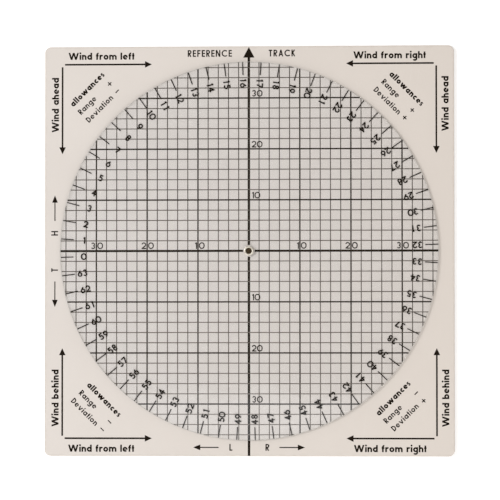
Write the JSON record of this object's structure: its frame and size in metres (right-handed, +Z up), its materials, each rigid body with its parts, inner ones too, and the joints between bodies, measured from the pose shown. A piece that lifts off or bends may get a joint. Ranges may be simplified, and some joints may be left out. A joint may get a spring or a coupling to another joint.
{
  "type": "wind component calculator",
  "caption": "Square pale plate printed with a squared grid and arrows, under a clear round dial with a numbered rim scale that turns on a central eyelet to split a wind into two components.",
  "frame": {"origin": "middle of the plate's underside, on the eyelet's axis", "axes": "+Z up out of the printed face, +Y the way the long arrow points, +X to the right of it"},
  "size_m": [0.201, 0.201, 0.0038],
  "materials": {
    "plate_plastic": "satin off-white sheet, a little yellowed",
    "clear_plastic": "clear sheet with fine scratches",
    "eyelet_metal": "pale nickel plate, slightly tarnished",
    "ink": "screen-printed black ink"
  },
  "bodies": {
    "plate_body": {"base_plate": "plate_plastic", "eyelet": "eyelet_metal", "spacer_washer": "clear_plastic", "back_washer": "eyelet_metal", "fine_lines_upright": "ink", "fine_lines_level": "ink", "main_lines_upright": "ink", "main_lines_level": "ink", "heading_arrow": "ink", "cross_axis": "ink", "grid_numbers": "ink", "wind_arrows": "ink", "component_arrows": "ink", "correction_signs": "ink"},
    "dial_body": {"dial": "clear_plastic", "dial_ticks": "ink", "dial_numbers": "ink"}
  },
  "joints": [
    {"name": "dial_turn", "type": "hinge", "parent": "plate_body", "child": "dial_body", "pos_m": [0, 0, 0.0028], "axis": [0, 0, 1], "continuous": true}
  ]
}
